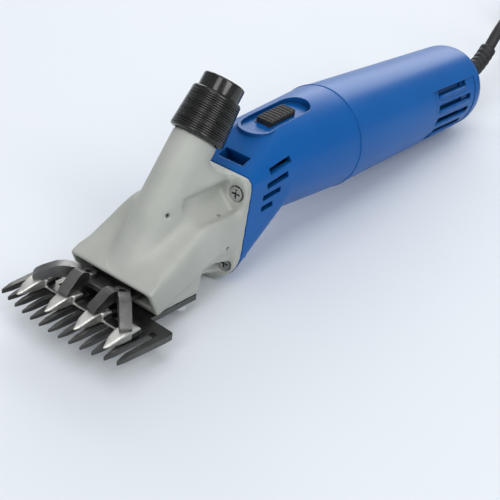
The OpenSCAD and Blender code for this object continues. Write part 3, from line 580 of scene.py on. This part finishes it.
# Painted reflection: the share is 1 on the points and along the top, where the pale colour stands
# partly for ground steel and partly for a painted reflection, and 0 on the bar behind.
pale_ground_and_reflection_share = np.maximum(
    ramp(cutter_places[:, 0], cutter_tips - 0.0150, cutter_tips - 0.0135),
    ramp(cutter_places[:, 2], cutter_foot + 0.0030, cutter_foot + 0.0040),
)
cutter.data.attributes.new("ground_and_painted_reflection", "FLOAT", "POINT").data.foreach_set("value", pale_ground_and_reflection_share)
cutter_steel = ground_steel(
    "cutter_steel", (0.10, 0.10, 0.097), (0.76, 0.75, 0.71), (0.34, 0.52), (0.2, 3, 3), "ground_and_painted_reflection"
)
dress(cutter, cutter_steel)


# Lever and claws: forged steel, hardened and tumbled to a dark satin finish. The claws hang
# on the lever's front arm, and a cup on the lever takes the tension pin.
dark_steel = ground_steel(
    "dark_steel", (0.13, 0.128, 0.127), (0.20, 0.197, 0.193), (0.36, 0.52), (1, 1, 1)
)
for name, node in (
    ("lever_plate", "oscillating_lever"),
    ("claw_left", "left_claw"),
    ("claw_right", "right_claw"),
    ("cup_on_lever", "pressure_cup"),
):
    dress(merged_copy(name, node, 30), dark_steel)


# Screws and pins: turned steel with a bright plating, cross-slotted at the flange. The
# plug's pins have the same finish.
bright_steel = ground_steel(
    "bright_steel", (0.50, 0.50, 0.51), (0.62, 0.62, 0.63), (0.16, 0.32), (1, 1, 1)
)
for name, node in (
    ("head_screws", "flange_screws"),
    ("screws_of_comb", "comb_screws"),
    ("pins_of_plug", "plug_pins"),
):
    dress(merged_copy(name, node, 30), bright_steel)


# Switch slider: black moulded plastic with cross ridges for the thumb. It runs in the recess
# on top of the front housing and moves the switch below.
def soft_black_plastic():
    """Matt black plastic with a brownish bloom of dust."""
    material, tree, shader, place = new_material("soft_black_plastic")
    dust = noise(tree, place, 500)
    grain = noise(tree, place, 2800)
    tint(tree, dust, (0.016, 0.015, 0.014), (0.034, 0.031, 0.027), shader.inputs["Base Color"])
    between(tree, grain, 0.4, 0.58, shader.inputs["Roughness"])
    relief(tree, grain, 0.00005, 0.35, shader, edge=0.0003)
    return material


black_plastic = soft_black_plastic()
slider_half = 0.0110
slider_width = 0.0096
slider_bottom = -0.0037
slider_ribs = 7
rib_height = 0.0012
end_round = 0.0012


def ribbed_slider():
    """Rounded box sections along the slide, the top rising over each rib and low in between."""
    along = np.linspace(-slider_half, slider_half, 240)
    inset = np.clip((np.abs(along) - slider_half + end_round) / end_round, 0, 1)
    corner = end_round * (1 - np.sqrt(1 - inset**2))
    wave = np.abs(np.cos(np.pi * slider_ribs * (along / (2 * slider_half - 0.003))))
    top = -rib_height + rib_height * wave**0.8 - 0.5 * corner
    turn = np.linspace(0, 2 * np.pi, 64, endpoint=False)
    across = np.sign(np.cos(turn)) * np.abs(np.cos(turn)) ** 0.22
    rise = np.sign(np.sin(turn)) * np.abs(np.sin(turn)) ** 0.22
    y = (slider_width / 2 - corner)[:, None] * across
    z = slider_bottom + (top - slider_bottom)[:, None] * (0.5 + 0.5 * rise)
    z = z - 14 * y**2 * (rise > 0)
    rings = placed(slide, along[:, None] + 0 * y, y, z)
    ends = placed(slide, along[[0, -1]], np.zeros(2), np.full(2, slider_bottom / 2))
    ends = np.repeat(ends[:, None], 64, axis=1)
    return grid_piece("thumb_slider", np.concatenate([ends[:1], rings, ends[1:]]))


thumb_slider = ribbed_slider()
dress(thumb_slider, black_plastic)
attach(thumb_slider, frame["nodes"]["switch_slider"]["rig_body"])
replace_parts(thumb_slider, "switch_slider")


# Working parts inside: motor, bearings, gears and spindle of steel, copper and brass. They
# show only when a copy is opened, and keep their exact solids.
def turned_metal(name, dark, light):
    """Turned or wound metal: fine rings across the axis, lightly oiled."""
    material, tree, shader, place = new_material(name)
    rings = noise(tree, place, 500, stretch=(4, 0.4, 0.4))
    tint(tree, rings, dark, light, shader.inputs["Base Color"])
    between(tree, rings, 0.25, 0.42, shader.inputs["Roughness"])
    relief(tree, rings, 0.00004, 0.3, shader)
    shader.inputs["Metallic"].default_value = 1.0
    return material


inner_steel = turned_metal("inner_steel", (0.24, 0.24, 0.245), (0.34, 0.34, 0.345))
copper = turned_metal("enamelled_copper", (0.32, 0.10, 0.035), (0.50, 0.17, 0.06))
brass = turned_metal("drawn_brass", (0.42, 0.28, 0.07), (0.54, 0.38, 0.11))
steel_nodes = (
    "centre_post",
    "crank_bearings",
    "motor_bearings",
    "stator_core",
    "motor_shaft",
    "armature_core",
    "pinion",
    "crank_gear",
    "crank_shaft",
    "crank_roller",
    "tension_spindle",
    "tension_pin",
)
for material, slot, nodes in (
    (inner_steel, "inner_steel", steel_nodes),
    (copper, "copper", ("field_coils", "armature_winding", "commutator")),
    (brass, "brass", ("brush_holders",)),
    (black_plastic, "carbon", ("carbon_brushes",)),
    (black_plastic, "black_plastic", ("bearing_plate", "cooling_fan", "switch_body")),
):
    for node in nodes:
        dress(frame["nodes"][node], material)


# Cord sleeve: a ribbed guide moulded in black rubber that keeps the lead from kinking. Its
# collar sits in the hole of the rear end.
def black_rubber():
    """Black rubber: dull, with a fine grain and pale dust."""
    material, tree, shader, place = new_material("black_rubber")
    dust = noise(tree, place, 240)
    grain = noise(tree, place, 2400)
    tint(tree, dust, (0.012, 0.012, 0.013), (0.024, 0.0235, 0.026), shader.inputs["Base Color"])
    between(tree, dust, 0.45, 0.62, shader.inputs["Roughness"])
    relief(tree, grain, 0.00005, 0.35, shader)
    return material


rubber = black_rubber()
grip_length = 0.164
sleeve_length = 0.050
sleeve_root = 0.012
sleeve_rise = np.radians(50)
bend_radius = (sleeve_length - sleeve_root) / sleeve_rise
rib_pitch = 0.0044
rib_depth = 0.0007
cord_radius = 0.0038


def sleeve_at(along):
    """Middle of the sleeve: straight behind the housing, then rising along an arc."""
    straight = np.minimum(along, sleeve_root)[:, None]
    bend = np.maximum(along - sleeve_root, 0)[:, None] / bend_radius
    back = grip_length + straight + bend_radius * np.sin(bend)
    return seam - back * handle_axis + bend_radius * (1 - np.cos(bend)) * handle_up


def rings_along(path, radius, sides):
    """Rings of points square to a path, one radius for each point of the path."""
    tangent = np.gradient(path, axis=0)
    tangent = tangent / np.linalg.norm(tangent, axis=1)[:, None]
    side = np.cross(tangent, [0.0, 0.0, 1.0])
    side = side / np.linalg.norm(side, axis=1)[:, None]
    up = np.cross(side, tangent)
    turn = np.linspace(0, 2 * np.pi, sides, endpoint=False)[None, :, None]
    outward = np.cos(turn) * side[:, None, :] + np.sin(turn) * up[:, None, :]
    return path[:, None, :] + np.asarray(radius)[:, None, None] * outward


sleeve_s = np.linspace(-0.0022, sleeve_length, 210)
# Radius of the plain wall: plug in the hole, collar, tapered root and rounded end
sleeve_wall = np.interp(
    sleeve_s,
    [-0.0022, -0.0001, 0.0001, 0.0005, 0.0024, 0.0034, 0.012, 0.0485, 0.0495, 0.050],
    [0.0060, 0.0060, 0.0071, 0.0076, 0.0074, 0.0066, 0.0058, 0.0056, 0.0053, 0.0047],
)
ribbed = np.clip((sleeve_s - 0.006) / 0.002, 0, 1) * np.clip((0.047 - sleeve_s) / 0.002, 0, 1)
groove = (0.5 - 0.5 * np.cos(2 * np.pi * sleeve_s / rib_pitch)) ** 4
sleeve_wall = sleeve_wall - rib_depth * ribbed * groove
sleeve_bore = np.full(len(sleeve_s), cord_radius + 0.0001)
sleeve = grid_piece(
    "ribbed_sleeve",
    np.concatenate(
        [
            rings_along(sleeve_at(sleeve_s), sleeve_wall, 48),
            rings_along(sleeve_at(sleeve_s), sleeve_bore, 48)[::-1],
        ]
    ),
)
dress(sleeve, rubber)
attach(sleeve, "machine")
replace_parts(sleeve, "cord_sleeve")


# Lead: a round two-core rubber cord. It arches over from the sleeve down to the floor, and
# its spare length lies wound in a tied bundle, ending in a moulded two-pin plug.
def through(points, steps):
    """Smooth curve through the points: cubic pieces with slopes from the neighbours."""
    points = np.asarray(points, float)
    t = np.linspace(0, 1, steps, endpoint=False)[None, :, None]
    before, start, end, after = (points[k : len(points) - 3 + k, None, :] for k in range(4))
    bend = 2 * before - 5 * start + 4 * end - after
    twist = -before + 3 * start - 3 * end + after
    curve = 0.5 * (2 * start + (end - before) * t + bend * t**2 + twist * t**3)
    return curve.reshape(-1, 3)


cord_gap = 0.0002
cord_width = 2 * cord_radius
inner_end, middle_end, sleeve_end = sleeve_at(
    sleeve_root + bend_radius * np.radians([16.6, 33.3, 50])
)

# Bundle: a spiral that runs inwards and outwards by turns, one layer above the other
coil_middle = np.array([sleeve_end[0] - 0.1596, 0.015])
coil_outer = 0.054
coil_floor = cord_radius + 0.002
coil_step = cord_width + 0.0007
coil_loops = 10.6
coil_layers = 4
coil_lead = np.radians(36)
coil_inner = coil_outer - coil_step * coil_loops / coil_layers
coil_turn = np.linspace(0, coil_loops, 382)
loops_per_layer = coil_loops / coil_layers
layer = np.minimum(np.floor(coil_turn / loops_per_layer), coil_layers - 1)
share = coil_turn / loops_per_layer - layer
inward = np.where(layer % 2 == 0, share, 1 - share)
coil_radius = coil_outer - inward * (coil_outer - coil_inner)
layer_ends = np.arange(1, coil_layers) * loops_per_layer
rise = np.clip((coil_turn[:, None] - layer_ends + 0.25) / 0.5, 0, 1)
coil_lift = coil_step * (rise**2 * (3 - 2 * rise)).sum(axis=1)
coil_points = np.stack(
    [
        coil_middle[0] - coil_radius * np.sin(2 * np.pi * coil_turn - coil_lead),
        coil_middle[1] - coil_radius * np.cos(2 * np.pi * coil_turn - coil_lead),
        coil_floor + coil_lift,
    ],
    axis=1,
)

# Free arch between sleeve and bundle, given behind the sleeve's end
coil_heading = np.array([-np.cos(coil_lead), -np.sin(coil_lead), 0])
arch_points = [
    [-0.0093, 0, 0.0445],
    [-0.0197, 0, 0.0516],
    [-0.0317, 0, 0.0557],
    [-0.0443, 0, 0.0560],
    [-0.0563, -0.0001, 0.0521],
    [-0.0666, -0.0009, 0.0448],
    [-0.0750, -0.0022, 0.0355],
    [-0.0824, -0.0041, 0.0254],
    [-0.0905, -0.0069, 0.0161],
    [-0.1003, -0.0113, 0.0095],
    [-0.1110, -0.0172, 0.0063],
]
free_points = [
    inner_end,
    middle_end,
    sleeve_end,
    *(np.array(arch_points) + [sleeve_end[0], 0, 0]),
    coil_points[0] - (cord_width + cord_gap) * coil_heading,
    coil_points[0] + 0.005 * coil_heading,
]

# Tail from the top of the bundle down to the plug
tail_start = coil_points[-1] + [cord_width + cord_gap, 0, 0]
tail_end = np.array([coil_middle[0] + 0.084, coil_middle[1] + 0.0395, 0.0181])
tail_points = [
    tail_start - [0.016, 0, 0],
    tail_start,
    tail_start + [0.018, -0.002, -0.002],
    tail_end + [-0.041, 0.0065, 0.0074],
    tail_end + [-0.020, 0.0015, 0.0019],
    tail_end,
    tail_end + [0.020, 0, 0],
]
lead_path = np.concatenate(
    [through(free_points, 8), coil_points, through(tail_points, 8), [tail_end]]
)
lead_rings = rings_along(lead_path, np.full(len(lead_path), cord_radius), 20)
lead_ends = np.repeat(lead_path[[0, -1], None], 20, axis=1)
lead = grid_piece("mains_lead", np.concatenate([lead_ends[:1], lead_rings, lead_ends[1:]]))
dress(lead, rubber)
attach(lead, "machine")
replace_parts(lead, "cord", "cord_coil", "cord_tail")

tie = merged_copy("strap_of_coil", "coil_tie", 30)
dress(tie, rubber)
plug = merged_copy("moulded_plug", "plug_body", 30)
dress(plug, black_plastic)


# Studio: a sheet of pale paper as the floor, a soft overhead light, two soft lights in front
# and a broad one behind, seen from the photographer's place.
floor_half = 9
floor_down = -0.0002
floor_mesh = bpy.data.meshes.new("studio_floor")
floor_mesh.from_pydata(
    [(x * floor_half, y * floor_half, floor_down) for x, y in ((-1, -1), (1, -1), (1, 1), (-1, 1))],
    [],
    [(0, 1, 2, 3)],
)
floor = bpy.data.objects.new("studio_floor", floor_mesh)
bpy.context.scene.collection.objects.link(floor)
paper, paper_tree, paper_shader, paper_place = new_material("studio_paper")
tint(
    paper_tree,
    noise(paper_tree, paper_place, 3),
    (0.76, 0.80, 0.85),
    (0.78, 0.82, 0.86),
    paper_shader.inputs["Base Color"],
)
paper_shader.inputs["Roughness"].default_value = 0.8
floor.data.materials.append(paper)

sky = bpy.data.worlds.new("studio_sky")
sky.use_nodes = True
sky.node_tree.nodes["Background"].inputs["Color"].default_value = (0.93, 0.96, 1.0, 1)
sky.node_tree.nodes["Background"].inputs["Strength"].default_value = 0.36
bpy.context.scene.world = sky


def soft_light(name, place, target, size, watts):
    """A rectangular soft light at a place, turned to look at its target."""
    lamp = bpy.data.lights.new(name, "AREA")
    lamp.shape = "RECTANGLE"
    lamp.size, lamp.size_y = size
    lamp.energy = watts
    light = bpy.data.objects.new(name, lamp)
    light.location = place
    direction = np.asarray(target, float) - np.asarray(place, float)
    yaw = np.arctan2(direction[1], direction[0]) - np.pi / 2
    pitch = np.arctan2(np.linalg.norm(direction[:2]), -direction[2])
    light.rotation_euler = (pitch, 0, yaw)
    bpy.context.scene.collection.objects.link(light)


soft_light("overhead_softbox", (0.0, 0.0, 3.0), (0, 0, 0), (2.6, 2.0), 23)
soft_light("left_softbox", (2.27, 0.40, 1.95), (0.05, 0, 0.03), (1.1, 1.8), 22)
soft_light("right_softbox", (0.60, 2.22, 1.95), (0.05, 0, 0.03), (1.1, 1.8), 28)
soft_light("rear_softbox", (-2.7, -1.65, 1.3), (-0.05, 0, 0.05), (3.2, 1.5), 69)

camera_lens = bpy.data.cameras.new("photographer")
camera_lens.lens = 76.414
camera_lens.sensor_width = 36
camera_lens.clip_start = 0.01
camera = bpy.data.objects.new("photographer", camera_lens)
camera.location = (0.43391, 0.27699, 0.31124)
camera.rotation_euler = Euler(np.radians([56.3283, -5.2654, 128.2169]))
bpy.context.scene.collection.objects.link(camera)
bpy.context.scene.camera = camera
bpy.context.scene.view_settings.view_transform = "Standard"
